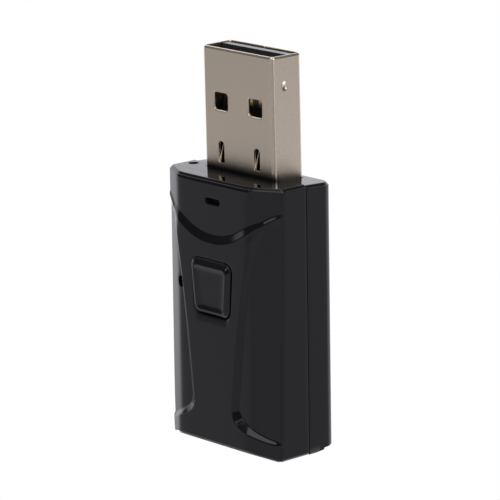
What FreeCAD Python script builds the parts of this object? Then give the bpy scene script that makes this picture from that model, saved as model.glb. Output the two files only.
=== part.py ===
import FreeCAD, Part
import Sketcher
import math
import os
import re

# Small audio adapter on a flat plug: a two-piece black case that stands on its
# flat bottom with the plug pointing up.  X is the width, Y runs from the front
# (button side, -Y) to the back, Z is up.  The origin is the middle of the
# bottom.  The seam between the front and the back shell lies in a plane of
# constant Y.  All sizes are millimetres.

V = FreeCAD.Vector
doc = FreeCAD.newDocument("plug_adapter")
sheet = doc.addObject("Spreadsheet::Sheet", "Dims")

TABLE = [
    # case
    ("bodyHigh", 31.75), ("backHigh", 31.55), ("seamY", 1.35), ("backY", 5.7),
    ("halfWideTop", 9.75), ("halfWideLow", 9.41),
    ("cornerTop", 1.98), ("cornerLow", 2.85),          # depth of the side wall's front corner, in front of Y=0
    ("floorTop", 3.97), ("floorLow", 4.47),            # scoop level
    ("headTop", 4.116), ("headLow", 4.225),            # head level at the top and at headFoot
    ("headFoot", 23.5), ("proud", 0.18),
    ("flatTop", 6.10), ("flatLow", 5.92),              # half width of the flat front
    ("panelTop", 4.46), ("panelLow", 5.017),           # raised panel level at panelEnd and at 0
    ("panelEnd", 28.0),
    ("bevel", 0.35), ("wall", 1.2), ("backRound", 1.85),
    ("toeRise", 0.85), ("toeDeep", 2.0),
    ("rebateY", 3.7), ("rebateRise", 0.36),
    # plug
    ("plugHalf", 6.0), ("plugDeep", 4.5), ("plugSheet", 0.3), ("plugRound", 0.6),
    ("plugTip", 45.92), ("plugFoot", 26.4), ("plugGap", 0.05),
    ("windowMid", 2.9), ("windowWide", 2.4), ("windowLow", 38.7), ("windowTop", 40.7),
    ("slotMid", 3.04), ("slotWide", 1.0), ("slotLow", 32.55), ("slotTop", 35.05),
    ("tongueFront", 2.75), ("tongueTip", 45.8), ("tongueFoot", 33.2), ("insulatorFoot", 27.0),
    # button
    ("capTopHalf", 3.34), ("capLowHalf", 2.86), ("capLow", 15.97), ("capTop", 22.38),
    ("capRound", 0.85), ("capFace", 4.95), ("capRim", 0.33), ("capRimWide", 0.5), ("capGap", 0.14), ("capFlange", 0.7),
    ("flangeFront", 2.86), ("flangeBack", 2.40), ("travel", 0.25),
    # openings of the front
    ("lampHalf", 1.25), ("lampLow", 28.83), ("lampTop", 29.57),
    ("portX", 5.98), ("portZ", 18.85), ("portDia", 1.32),
    ("dimpleX", 8.1), ("dimpleY", 0.1), ("dimpleDia", 1.25),
    # board
    ("boardFront", 1.5), ("boardThick", 1.0), ("boardHalf", 7.3), ("boardLow", 2.2), ("boardTop", 25.6),
    ("switchHalf", 3.0), ("switchMid", 19.2), ("switchFace", 1.9), ("stemDia", 3.4),
]
D = {}
for i, (name, value) in enumerate(TABLE):
    cell = "B%d" % (i + 1)
    sheet.set("A%d" % (i + 1), name)
    sheet.set(cell, "%.6g" % value)
    sheet.setAlias(cell, name)
    D[name] = value
doc.recompute()

TERM = re.compile(r"([+-]?)\s*([A-Za-z]\w*|\d+\.?\d*)")


def val(e):
    """value of a sum such as 'halfWideTop-wall+0.2'"""
    if not isinstance(e, str):
        return float(e)
    total = 0.0
    for sign, term in TERM.findall(e):
        v = D[term] if term in D else float(term)
        total += -v if sign == "-" else v
    return total


def ref(e):
    """the same sum as an expression on the sheet"""
    if not isinstance(e, str):
        return "%.6g" % e
    out = ""
    for sign, term in TERM.findall(e):
        out += (sign or "+") + ("Dims." + term if term in D else term)
    return out.lstrip("+")


def plane_of(body, role):
    for f in body.Origin.OriginFeatures:
        if f.Role == role:
            return f
    raise RuntimeError(role)


def new_body(name):
    return doc.addObject("PartDesign::Body", name)


def new_sketch(body, name, role, offset="0"):
    """offset is the signed distance of the sketch along its plane's own normal"""
    sk = body.newObject("Sketcher::SketchObject", name)
    sk.AttachmentSupport = [(plane_of(body, role), "")]
    sk.MapMode = "FlatFace"
    sk.AttachmentOffset = FreeCAD.Placement(V(0, 0, val(offset)), FreeCAD.Rotation())
    if not (isinstance(offset, str) and offset == "0"):
        sk.setExpression("AttachmentOffset.Base.z", ref(offset))
    return sk


def pin_point(sk, geo, pos, ex, ey):
    for kind, e in (("DistanceX", ex), ("DistanceY", ey)):
        v = val(e)
        if abs(v) < 1e-9:
            sk.addConstraint(Sketcher.Constraint("PointOnObject", geo, pos, -2 if kind == "DistanceX" else -1))
        elif v > 0:
            c = sk.addConstraint(Sketcher.Constraint(kind, -1, 1, geo, pos, v))
            sk.setExpression("Constraints[%d]" % c, ref(e))
        else:
            c = sk.addConstraint(Sketcher.Constraint(kind, geo, pos, -1, 1, -v))
            sk.setExpression("Constraints[%d]" % c, "-(" + ref(e) + ")")


def polygon(sk, pts):
    """closed polygon whose corners are sums on the sheet"""
    n = len(pts)
    xy = [V(val(a), val(b), 0) for a, b in pts]
    first = sk.GeometryCount
    for i in range(n):
        sk.addGeometry(Part.LineSegment(xy[i], xy[(i + 1) % n]), False)
    for i in range(n):
        sk.addConstraint(Sketcher.Constraint("Coincident", first + i, 2, first + (i + 1) % n, 1))
    for i in range(n):
        pin_point(sk, first + i, 1, *pts[i])
    return sk


def loft_body(name, sections, role="XY_Plane"):
    """straight loft through polygons [(offset, points), ...]"""
    body = new_body(name)
    sks = []
    for k, (off, pts) in enumerate(sections):
        sk = new_sketch(body, "%s_section%d" % (name, k), role, off)
        polygon(sk, pts)
        sks.append(sk)
    doc.recompute()
    loft = body.newObject("PartDesign::AdditiveLoft", name + "_loft")
    loft.Profile = sks[0]
    loft.Sections = sks[1:]
    loft.Ruled = True
    body.Tip = loft
    doc.recompute()
    return body


def pad_body(name, role, offset, length, draw):
    """pad of one sketch, along the plane's normal"""
    body = new_body(name)
    sk = new_sketch(body, name + "_outline", role, offset)
    draw(sk)
    doc.recompute()
    pad = body.newObject("PartDesign::Pad", name + "_pad")
    pad.Profile = sk
    pad.Length = val(length)
    if isinstance(length, str):
        pad.setExpression("Length", ref(length))
    body.Tip = pad
    doc.recompute()
    return body


def box(name, x0, x1, y0, y1, z0, z1):
    b = doc.addObject("Part::Box", name)
    b.setExpression("Length", "(%s)-(%s)" % (ref(x1), ref(x0)))
    b.setExpression("Width", "(%s)-(%s)" % (ref(y1), ref(y0)))
    b.setExpression("Height", "(%s)-(%s)" % (ref(z1), ref(z0)))
    b.setExpression("Placement.Base.x", ref(x0))
    b.setExpression("Placement.Base.y", ref(y0))
    b.setExpression("Placement.Base.z", ref(z0))
    return b


def rod(name, dia, x, z, y0, y1):
    """cylinder along Y, from y0 to y1"""
    c = doc.addObject("Part::Cylinder", name)
    c.setExpression("Radius", "(%s)/2" % ref(dia))
    c.setExpression("Height", "(%s)-(%s)" % (ref(y1), ref(y0)))
    c.Placement = FreeCAD.Placement(V(val(x), val(y0), val(z)), FreeCAD.Rotation(V(1, 0, 0), -90))
    c.setExpression("Placement.Base.x", ref(x))
    c.setExpression("Placement.Base.y", ref(y0))
    c.setExpression("Placement.Base.z", ref(z))
    return c


def post(name, dia, x, y, z0, z1):
    """cylinder along Z"""
    c = doc.addObject("Part::Cylinder", name)
    c.setExpression("Radius", "(%s)/2" % ref(dia))
    c.setExpression("Height", "(%s)-(%s)" % (ref(z1), ref(z0)))
    c.Placement = FreeCAD.Placement(V(val(x), val(y), val(z0)), FreeCAD.Rotation())
    c.setExpression("Placement.Base.x", ref(x))
    c.setExpression("Placement.Base.y", ref(y))
    c.setExpression("Placement.Base.z", ref(z0))
    return c


def cut(name, a, *tools):
    if len(tools) > 1:
        t = fuse(name + "_tools", *tools)
    else:
        t = tools[0]
    c = doc.addObject("Part::Cut", name)
    c.Base, c.Tool = a, t
    doc.recompute()
    return c


def fuse(name, *parts):
    f = doc.addObject("Part::MultiFuse", name)
    f.Shapes = list(parts)
    doc.recompute()
    return f


def common(name, a, b):
    c = doc.addObject("Part::Common", name)
    c.Base, c.Tool = a, b
    doc.recompute()
    return c


def compound(name, *parts):
    c = doc.addObject("Part::Compound", name)
    c.Links = list(parts)
    doc.recompute()
    return c


NODES = []


def node(obj, label):
    obj.Label = label
    NODES.append(obj)
    return obj


# ---------------------------------------------------------------------------
# outlines of the relief on the front, as seen from the front: X, Z.
# The panel is a tapered shield under a smile-shaped edge and it widens into a
# foot at the bottom; between them lie two finger scoops.
SMILE_HIGH = [(0, 25.30), (1.1, 25.36), (2.2, 25.58), (3.2, 25.87), (4.3, 26.36), (5.4, 26.98), (6.3, 27.55),
              (7.2, 28.06), (8.3, 28.46), (9.4, 28.72), (11.5, 28.9)]
SMILE_LOW = [(0, 24.45), (1.2, 24.49), (2.4, 24.70), (3.4, 25.02), (4.4, 25.52), (5.3, 26.0), (6.42, 26.72)]
SIDE_HIGH = [(6.42, 26.72), (6.02, 24.5), (5.30, 20.6), (4.54, 16.0), (3.78, 10.5), (3.2, 5.3)]
FOOT_HIGH = [(3.2, 5.3), (3.5, 4.35), (4.2, 3.72), (5.2, 3.25), (6.3, 2.83), (7.6, 2.36), (9.1, 1.98), (11.5, 1.6)]
SMILE_LOW_B = [(0, 25.38), (1.15, 25.43), (2.3, 25.64), (3.3, 25.94), (4.4, 26.44), (5.5, 27.06), (6.9, 27.9)]
SIDE_B = [(6.9, 27.9), (6.75, 24.5), (6.0, 20.6), (5.36, 16.0), (4.66, 10.5), (4.12, 5.9)]
FOOT_B = [(4.12, 5.9), (4.25, 5.05), (4.8, 4.4), (5.5, 3.95), (6.5, 3.5), (7.8, 3.0), (9.2, 2.52), (11.5, 2.0)]


def spline(points, mirror=False):
    pts = [V((-x if mirror else x), z, 0) for x, z in points]
    if mirror:
        pts = pts[::-1]
    c = Part.BSplineCurve()
    c.interpolate(pts)
    return c


def shield(smile, side, foot):
    """closed outline of the panel and the foot under it"""
    def draw(sk):
        whole = [(-x, z) for x, z in smile[:0:-1]] + smile
        geo = [spline(whole), spline(side), spline(foot),
               Part.LineSegment(V(foot[-1][0], foot[-1][1], 0), V(foot[-1][0], -2, 0)),
               Part.LineSegment(V(foot[-1][0], -2, 0), V(-foot[-1][0], -2, 0)),
               Part.LineSegment(V(-foot[-1][0], -2, 0), V(-foot[-1][0], foot[-1][1], 0)),
               spline(foot, True), spline(side, True)]
        first = sk.GeometryCount
        for g in geo:
            sk.addGeometry(g, False)
        for i in range(len(geo)):
            sk.addConstraint(Sketcher.Constraint("Block", first + i))
    return draw


def case_section(half, corner, flat, front, back="seamY"):
    """cross-section of the front half: flat front, slanted flanks, side walls"""
    return [(half, back), (half, "-" + corner), (flat, "-" + front),
            ("-" + flat, "-" + front), ("-" + half, "-" + corner), ("-" + half, back)]


# ---------------------------------------------------------------------------
# front shell, outside
floor_form = loft_body("floor_form", [
    ("0", case_section("halfWideLow", "cornerLow", "flatLow", "floorLow")),
    ("bodyHigh", case_section("halfWideTop", "cornerTop", "flatTop", "floorTop"))])
head_loft = loft_body("head_form", [
    ("headFoot", [("9.66", "seamY"), ("9.66", "-2.206-proud"), ("6.05", "-headLow"),
                  ("-6.05", "-headLow"), ("-9.66", "-2.206-proud"), ("-9.66", "seamY")]),
    ("bodyHigh", [("halfWideTop", "seamY"), ("halfWideTop", "-cornerTop-proud"), ("flatTop", "-headTop"),
                  ("-flatTop", "-headTop"), ("-halfWideTop", "-cornerTop-proud"), ("-halfWideTop", "seamY")])])


def draw_under_smile(sk):
    whole = [(-x, z) for x, z in SMILE_HIGH[:0:-1]] + SMILE_HIGH
    x, z = SMILE_HIGH[-1]
    geo = [spline(whole), Part.LineSegment(V(x, z, 0), V(x, 20, 0)),
           Part.LineSegment(V(x, 20, 0), V(-x, 20, 0)), Part.LineSegment(V(-x, 20, 0), V(-x, z, 0))]
    for i, g in enumerate(geo):
        sk.addGeometry(g, False)
        sk.addConstraint(Sketcher.Constraint("Block", i))


under_smile = pad_body("under_smile", "XZ_Plane", "-seamY-1", "8", draw_under_smile)
head_form_cut = cut("head_block", head_loft, under_smile)

envelope = loft_body("panel_envelope", [
    ("0", [("halfWideLow", "seamY"), ("halfWideLow", "-cornerLow-proud"), ("flatLow", "-panelLow"),
           ("-flatLow", "-panelLow"), ("-halfWideLow", "-cornerLow-proud"), ("-halfWideLow", "seamY")]),
    ("panelEnd", [("9.71", "seamY"), ("9.71", "-2.083-proud"), ("6.45", "-panelTop"),
                  ("-6.45", "-panelTop"), ("-9.71", "-2.083-proud"), ("-9.71", "seamY")])])
# the shield's edge is a ramp: its outline is larger at the scoop level
shield_body = new_body("shield_prism")
sk_in = new_sketch(shield_body, "shield_root", "XZ_Plane", "3.7")
shield(SMILE_LOW_B, SIDE_B, FOOT_B)(sk_in)
sk_out = new_sketch(shield_body, "shield_crest", "XZ_Plane", "5.05")
shield(SMILE_LOW, SIDE_HIGH, FOOT_HIGH)(sk_out)
doc.recompute()
sl = shield_body.newObject("PartDesign::AdditiveLoft", "shield_loft")
sl.Profile = sk_in
sl.Sections = [sk_out]
sl.Ruled = True
shield_body.Tip = sl
doc.recompute()
raised = common("raised_shield", envelope, shield_body)
front_outer = fuse("front_outer", floor_form, head_form_cut, raised)

# small bevel round the top edge
bevel_cap = loft_body("bevel_cap", [
    ("bodyHigh-bevel", [("halfWideTop", "seamY"), ("halfWideTop", "-cornerTop-proud"), ("flatTop", "-headTop"),
                        ("-flatTop", "-headTop"), ("-halfWideTop", "-cornerTop-proud"), ("-halfWideTop", "seamY")]),
    ("bodyHigh", [("halfWideTop-bevel", "seamY"), ("halfWideTop-bevel", "-cornerTop-proud+0.19"),
                  ("flatTop-0.1", "-headTop+bevel"), ("-flatTop+0.1", "-headTop+bevel"),
                  ("-halfWideTop+bevel", "-cornerTop-proud+0.19"), ("-halfWideTop+bevel", "seamY")])])
bevel_low = box("bevel_low", "-12", "12", "-7", "seamY", "-1", "bodyHigh-bevel")
bevel_env = fuse("bevel_envelope", bevel_cap, bevel_low)
front_trim = common("front_trimmed", front_outer, bevel_env)


# the bottom rises a little towards the front edge
def draw_toe(sk):
    polygon(sk, [("-5.0+toeDeep", "0"), ("-5.0", "toeRise"), ("-6.5", "1.4875"), ("-6.5", "-1"), ("-5.0+toeDeep", "-1")])


toe = pad_body("toe_wedge", "YZ_Plane", "-12", "24", draw_toe)

# inside of the front shell
front_room = loft_body("front_room", [
    ("wall", [("halfWideLow-wall", "seamY+1"), ("halfWideLow-wall", "-cornerLow+wall"), ("flatLow-0.5", "-3.2"),
              ("-flatLow+0.5", "-3.2"), ("-halfWideLow+wall", "-cornerLow+wall"), ("-halfWideLow+wall", "seamY+1")]),
    ("bodyHigh-wall", [("halfWideTop-wall", "seamY+1"), ("halfWideTop-wall", "-cornerTop+wall"), ("flatTop-0.5", "-2.88"),
                       ("-flatTop+0.5", "-2.88"), ("-halfWideTop+wall", "-cornerTop+wall"), ("-halfWideTop+wall", "seamY+1")])])
plug_hole = box("plug_hole", "-plugHalf-plugGap", "plugHalf+plugGap", "-plugGap", "plugDeep+plugGap", "bodyHigh-wall-1", "bodyHigh+1")


def draw_pill(sk, less=0.0):
    r = (D["lampTop"] - D["lampLow"]) / 2
    zc = (D["lampTop"] + D["lampLow"]) / 2
    a = D["lampHalf"] - r
    r = r - less
    sk.addGeometry(Part.LineSegment(V(-a, zc - r, 0), V(a, zc - r, 0)), False)
    sk.addGeometry(Part.Arc(V(a, zc - r, 0), V(a + r, zc, 0), V(a, zc + r, 0)), False)
    sk.addGeometry(Part.LineSegment(V(a, zc + r, 0), V(-a, zc + r, 0)), False)
    sk.addGeometry(Part.Arc(V(-a, zc + r, 0), V(-a - r, zc, 0), V(-a, zc - r, 0)), False)
    for i in range(4):
        sk.addConstraint(Sketcher.Constraint("Block", i))


lamp_hole = pad_body("lamp_hole", "XZ_Plane", "1.5", "5", draw_pill)


def draw_port(sk):
    sk.addGeometry(Part.Circle(V(-D["portX"], D["portZ"], 0), V(0, 0, 1), D["portDia"] / 2), False)
    sk.addConstraint(Sketcher.Constraint("Block", 0))


port_hole = pad_body("port_hole", "XZ_Plane", "1.5", "5", draw_port)


def rounded_trapezoid(grow, round_name):
    """button outline: wider at the top, rounded corners; grow moves every side outwards"""
    def draw(sk):
        pts = [("-capTopHalf-" + grow, "capTop+" + grow), ("-capLowHalf-" + grow, "capLow-" + grow),
               ("capLowHalf+" + grow, "capLow-" + grow), ("capTopHalf+" + grow, "capTop+" + grow)]
        polygon(sk, pts)
    return draw


def trapezoid_body(name, grow, y_back, y_front, radius):
    """prism between two depths (in front of Y=0), with rounded upright corners"""
    body = pad_body(name, "XZ_Plane", y_back, y_front + "-" + y_back, rounded_trapezoid(grow, radius))
    pad = body.Tip
    names = []
    for i, e in enumerate(pad.Shape.Edges):
        a, b = e.Vertexes[0].Point, e.Vertexes[-1].Point
        if abs(a.x - b.x) < 1e-6 and abs(a.z - b.z) < 1e-6:
            names.append("Edge%d" % (i + 1))
    f = body.newObject("PartDesign::Fillet", name + "_corners")
    f.Base = (pad, names)
    f.Radius = val(radius)
    f.setExpression("Radius", ref(radius))
    body.Tip = f
    doc.recompute()
    return body


button_hole = trapezoid_body("button_hole", "capGap", "1.5", "6.5", "capRound+capGap")
dimple = post("top_dimple", "dimpleDia", "-dimpleX", "dimpleY", "bodyHigh-0.3", "bodyHigh+1")

# ribs that press the board, standing on the inside of the front wall
ribs = [rod("front_post_%d" % i, "1.6", x, z, "-3.0", "boardFront")
        for i, (x, z) in enumerate((("-6.4", "6.6"), ("6.4", "6.6"), ("-6.4", "23.2"), ("6.4", "23.2")))]
hollow = cut("front_hollow", front_trim, toe, front_room)
ribbed = fuse("front_ribbed", hollow, *ribs)
front_shell = cut("front_shell_solid", ribbed, plug_hole, lamp_hole, port_hole, button_hole, dimple)
node(front_shell, "front_shell")

# ---------------------------------------------------------------------------
# back shell: a shallow tray with rounded back edges
def draw_back(half, y1, r):
    """back half of the outline: square at the seam, rounded at the back"""
    def draw(sk):
        k = r * (1 - 2 ** -0.5)
        y0 = D["seamY"]
        sk.addGeometry(Part.LineSegment(V(-half, y0, 0), V(half, y0, 0)), False)
        sk.addGeometry(Part.LineSegment(V(half, y0, 0), V(half, y1 - r, 0)), False)
        sk.addGeometry(Part.Arc(V(half, y1 - r, 0), V(half - k, y1 - k, 0), V(half - r, y1, 0)), False)
        sk.addGeometry(Part.LineSegment(V(half - r, y1, 0), V(-half + r, y1, 0)), False)
        sk.addGeometry(Part.Arc(V(-half + r, y1, 0), V(-half + k, y1 - k, 0), V(-half, y1 - r, 0)), False)
        sk.addGeometry(Part.LineSegment(V(-half, y1 - r, 0), V(-half, y0, 0)), False)
        for i in range(6):
            sk.addConstraint(Sketcher.Constraint("Block", i))
    return draw


def back_loft(name, sections):
    body = new_body(name)
    sks = []
    for k, (off, half, y1, r) in enumerate(sections):
        sk = new_sketch(body, "%s_section%d" % (name, k), "XY_Plane", off)
        draw_back(half, y1, r)(sk)
        sks.append(sk)
    doc.recompute()
    loft = body.newObject("PartDesign::AdditiveLoft", name + "_loft")
    loft.Profile = sks[0]
    loft.Sections = sks[1:]
    loft.Ruled = True
    body.Tip = loft
    doc.recompute()
    return body


slim = (D["halfWideTop"] - D["halfWideLow"]) / D["bodyHigh"]
half_at_back = D["halfWideTop"] - slim * (D["bodyHigh"] - D["backHigh"])
half_at_bevel = half_at_back - slim * D["bevel"]
back_main = back_loft("back_main", [("0", D["halfWideLow"], D["backY"], D["backRound"]),
                                    ("backHigh-bevel", half_at_bevel, D["backY"], D["backRound"])])
back_top = back_loft("back_top", [("backHigh-bevel", half_at_bevel, D["backY"], D["backRound"]),
                                  ("backHigh", half_at_back - D["bevel"], D["backY"] - D["bevel"], D["backRound"] - D["bevel"])])
back_blank = fuse("back_blank", back_main, back_top)
back_room = loft_body("back_room", [
    ("wall", [("-halfWideLow+wall", "seamY-1"), ("halfWideLow-wall", "seamY-1"), ("halfWideLow-wall", "backY-1.05"), ("-halfWideLow+wall", "backY-1.05")]),
    ("bodyHigh-wall", [("-halfWideTop+wall", "seamY-1"), ("halfWideTop-wall", "seamY-1"), ("halfWideTop-wall", "backY-1.05"), ("-halfWideTop+wall", "backY-1.05")])])
# the plug's tube lies deeper than the tray's floor, so the floor is relieved behind it
plug_bed = box("plug_bed", "-plugHalf-plugGap", "plugHalf+plugGap", "seamY-1", "plugDeep+plugGap", "plugFoot-0.1", "bodyHigh-0.2")
rebate = box("bottom_rebate", "-12", "12", "rebateY", "backY+1", "-1", "rebateRise")
# lip that locates the two shells, just inside the front shell's wall
lip_side_l = box("lip_left", "-8.1", "-7.5", "0.65", "2.0", "wall+0.12", "5.0")
lip_side_r = box("lip_right", "7.5", "8.1", "0.65", "2.0", "wall+0.12", "5.0")
lip_floor = box("lip_floor", "-8.1", "8.1", "0.65", "2.0", "wall-0.3", "wall+0.6")
lip_room = box("lip_notch", "-12", "12", "0", "seamY", "-1", "wall+0.08")
back_posts = [rod("back_post_%d" % i, "2.4", x, z, "boardFront+boardThick", "backY-0.9")
              for i, (x, z) in enumerate((("-6.4", "6.0"), ("6.4", "6.0"), ("-6.4", "20.0"), ("6.4", "20.0")))]
tray = cut("back_tray", back_blank, back_room)
lip_piece = cut("lip_piece", fuse("lip_all", lip_floor, lip_side_l, lip_side_r), lip_room)
tray2 = fuse("back_tray_posts", tray, lip_piece, *back_posts)
back_shell = cut("back_shell_solid", tray2, plug_bed, plug_hole, rebate)
node(back_shell, "back_shell")

# ---------------------------------------------------------------------------
# button: cap with softened rim, and a flange behind the wall that keeps it in
def draw_rounded(inset, r):
    """the button's outline drawn with arcs at its corners, moved inwards by inset"""
    def draw(sk):
        t, l = D["capTopHalf"] - inset, D["capLowHalf"] - inset
        z0, z1 = D["capLow"] + inset, D["capTop"] - inset
        pts = [V(-l, z0, 0), V(l, z0, 0), V(t, z1, 0), V(-t, z1, 0)]
        ends = []
        for i in range(4):
            p, a, b = pts[i], (pts[i - 1] - pts[i]).normalize(), (pts[(i + 1) % 4] - pts[i]).normalize()
            half = a.getAngle(b) / 2
            k = r / math.tan(half)
            mid = (a + b).normalize()
            ends.append((p + a * k, p + mid * (r / math.sin(half) - r), p + b * k))
        n = 0
        for i in range(4):
            sk.addGeometry(Part.Arc(*ends[i]), False)
            sk.addGeometry(Part.LineSegment(ends[i][2], ends[(i + 1) % 4][0]), False)
            n += 2
        for i in range(n):
            sk.addConstraint(Sketcher.Constraint("Block", i))
    return draw


cap_body = new_body("button_block")
cap_a = new_sketch(cap_body, "button_root", "XZ_Plane", "flangeFront-0.1")
draw_rounded(0.0, D["capRound"])(cap_a)
doc.recompute()
cap_pad = cap_body.newObject("PartDesign::Pad", "button_pad")
cap_pad.Profile = cap_a
cap_pad.Length = val("capFace-capRim-flangeFront+0.1")
cap_pad.setExpression("Length", ref("capFace-capRim-flangeFront+0.1"))
cap_body.Tip = cap_pad
doc.recompute()
cap_rim = new_body("button_rim")
rim_a = new_sketch(cap_rim, "rim_root", "XZ_Plane", "capFace-capRim")
draw_rounded(0.0, D["capRound"])(rim_a)
rim_b = new_sketch(cap_rim, "rim_crest", "XZ_Plane", "capFace")
draw_rounded(D["capRimWide"], D["capRound"] - 0.3)(rim_b)
doc.recompute()
rim_loft = cap_rim.newObject("PartDesign::AdditiveLoft", "rim_loft")
rim_loft.Profile = rim_a
rim_loft.Sections = [rim_b]
rim_loft.Ruled = True
cap_rim.Tip = rim_loft
doc.recompute()
flange = trapezoid_body("button_flange", "capFlange", "flangeBack", "flangeFront", "capRound+capFlange")
node(fuse("button_solid", cap_body, cap_rim, flange), "button_cap")

# ---------------------------------------------------------------------------
# plug: folded sheet tube with two windows and two springs on each broad side


def round_rect(sk, half, y0, y1, r):
    pts = [(-half, y0), (half, y0), (half, y1), (-half, y1)]
    k = r * (1 - 2 ** -0.5)
    c = [(-1, -1), (1, -1), (1, 1), (-1, 1)]
    first = sk.GeometryCount
    for i in range(4):
        (x, y), (sx, sy) = pts[i], c[i]
        (x2, y2), (tx, ty) = pts[(i + 1) % 4], c[(i + 1) % 4]
        horizontal = y == y2
        a = V(x - sx * r, y, 0) if horizontal else V(x, y - sy * r, 0)
        b = V(x2 - tx * r, y2, 0) if horizontal else V(x2, y2 - ty * r, 0)
        sk.addGeometry(Part.LineSegment(a, b), False)
        q = V(x2, y2 - ty * r, 0) if horizontal else V(x2 - tx * r, y2, 0)
        m = V(x2 - tx * k, y2 - ty * k, 0)
        sk.addGeometry(Part.Arc(b, m, q), False)
    for i in range(first, sk.GeometryCount):
        sk.addConstraint(Sketcher.Constraint("Block", i))


def draw_tube(sk):
    round_rect(sk, D["plugHalf"], 0.0, D["plugDeep"], D["plugRound"])
    t = D["plugSheet"]
    round_rect(sk, D["plugHalf"] - t, t, D["plugDeep"] - t, D["plugRound"] - t)


tube = pad_body("plug_tube", "XY_Plane", "plugFoot", "plugTip-plugFoot", draw_tube)
holes = []
for side, (ya, yb) in enumerate((("-1", "plugSheet+0.1"), ("plugDeep-plugSheet-0.1", "plugDeep+1"))):
    for sx in (-1, 1):
        m = D["windowMid"] * sx
        a, b = ("windowMid-1.2", "windowMid+1.2") if sx > 0 else ("-windowMid-1.2", "-windowMid+1.2")
        w = box("window_%d_%d" % (side, sx + 1), a, b, ya, yb, "windowLow", "windowTop")
        up = doc.addObject("Part::Fillet", "window_round_%d_%d" % (side, sx + 1))
        doc.recompute()
        up.Base = w
        ids = [i + 1 for i, e in enumerate(w.Shape.Edges)
               if abs(e.Vertexes[0].Point.y - e.Vertexes[-1].Point.y) > 0.2]
        up.Edges = [(i, 0.3, 0.3) for i in ids]
        doc.recompute()
        holes.append(up)
        a, b = ("slotMid-0.5", "slotMid+0.5") if sx > 0 else ("-slotMid-0.5", "-slotMid+0.5")
        s = box("spring_slot_%d_%d" % (side, sx + 1), a, b, ya, yb, "slotLow", "slotTop")
        s2 = doc.addObject("Part::Fillet", "slot_round_%d_%d" % (side, sx + 1))
        doc.recompute()
        s2.Base = s
        ids = [i + 1 for i, e in enumerate(s.Shape.Edges)
               if abs(e.Vertexes[0].Point.y - e.Vertexes[-1].Point.y) > 0.2 and e.Vertexes[0].Point.z > D["slotTop"] - 0.1]
        s2.Edges = [(i, 0.42, 0.42) for i in ids]
        doc.recompute()
        holes.append(s2)
# the strip is folded round to a butt joint in the middle of its back
joint_gap = box("fold_joint", "-0.04", "0.04", "plugDeep-plugSheet-0.1", "plugDeep+1", "plugFoot-1", "plugTip+1")
# shallow pressed dimple on each narrow side
dents = []
for sx in (-1, 1):
    d = doc.addObject("Part::Sphere", "side_dent_%d" % (sx + 1))
    d.Radius = 0.8
    d.Placement = FreeCAD.Placement(V(sx * (D["plugHalf"] + 0.6), 1.85, 42.5), FreeCAD.Rotation())
    dents.append(d)
shell_cut = cut("plug_tube_cut", tube, *(holes + [joint_gap] + dents))
# spring fingers left by the slots, bent inwards
fingers = []
for side, (y, tilt) in enumerate(((0.0, -9.0), (4.2, 9.0))):
    for sx in (-1, 1):
        f = doc.addObject("Part::Box", "spring_finger_%d_%d" % (side, sx + 1))
        f.Length, f.Width, f.Height = 0.6, D["plugSheet"], 2.1
        f.Placement = FreeCAD.Placement(V(sx * D["slotMid"] - 0.3, y, D["slotLow"] - 0.12),
                                        FreeCAD.Rotation(V(1, 0, 0), tilt), V(0, 0.0 if side == 0 else D["plugSheet"], 0))
        fingers.append(f)
# short feet that pin the tube to the board
feet = [box("shell_foot_l", "-plugHalf", "-plugHalf+plugSheet", "0.9", "3.2", "24.4", "plugFoot+0.2"),
        box("shell_foot_r", "plugHalf-plugSheet", "plugHalf", "0.9", "3.2", "24.4", "plugFoot+0.2")]
node(fuse("plug_shell_solid", shell_cut, *(fingers + feet)), "usb_shell")

# insulator: base block and the tongue against the back wall of the tube
ins_base = box("insulator_base", "-plugHalf+plugSheet+0.1", "plugHalf-plugSheet-0.1", "plugSheet+0.1", "plugDeep-plugSheet-0.1", "insulatorFoot", "slotLow-0.75")
ins_tongue = box("insulator_tongue", "-5.55", "5.55", "tongueFront", "plugDeep-plugSheet-0.1", "31.0", "tongueTip")
contact_x = [("ground", "-3.5", "44.3", "37.0"), ("data_plus", "-1.0", "43.6", "37.9"),
             ("data_minus", "1.0", "43.6", "37.9"), ("power", "3.5", "44.3", "37.0")]
grooves = []
for n, x, top, low in contact_x:
    grooves.append(box("groove_" + n, x + "-0.55", x + "+0.55", "tongueFront-0.3", "tongueFront+0.25", "26.0", top))
# spring relief pockets beside the fingers
relief = [box("relief_%d" % j, a, b, "3.2", "plugDeep", "31.6", "36.2")
          for j, (a, b) in enumerate((("-slotMid-0.6", "-slotMid+0.6"), ("slotMid-0.6", "slotMid+0.6")))]
relief.append(box("relief_tip", "-5.7", "5.7", "3.6", "plugDeep", "43.0", "plugTip+1"))
ins = fuse("insulator_all", ins_base, ins_tongue)

open_tongue = cut("insulator_grooved", ins, *(grooves + relief))
# low wall over the lower part of the contacts
contact_wall = box("contact_wall", "-5.5", "5.5", "tongueFront-0.2", "tongueFront", "31.0", "39.15")
node(fuse("insulator_solid", open_tongue, contact_wall), "usb_insulator")

# contacts: flat strips in the grooves, stepped forward on to the board
for n, x, top, low in contact_x:
    # strip: from the solder tail on the board up along the tongue
    def draw_strip(sk, top=top):
        polygon(sk, [("tongueFront", top + "-0.03"), ("tongueFront+0.22", top + "-0.03"), ("tongueFront+0.22", "26.5"),
                     ("boardFront-0.02", "25.7"), ("boardFront-0.02", "24.2"), ("boardFront-0.26", "24.2"),
                     ("boardFront-0.26", "25.82"), ("tongueFront", "26.62")])
    c = pad_body("contact_%s_strip" % n, "YZ_Plane", x + "-0.5", "1.0", draw_strip)
    node(c, "contact_" + n)

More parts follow.
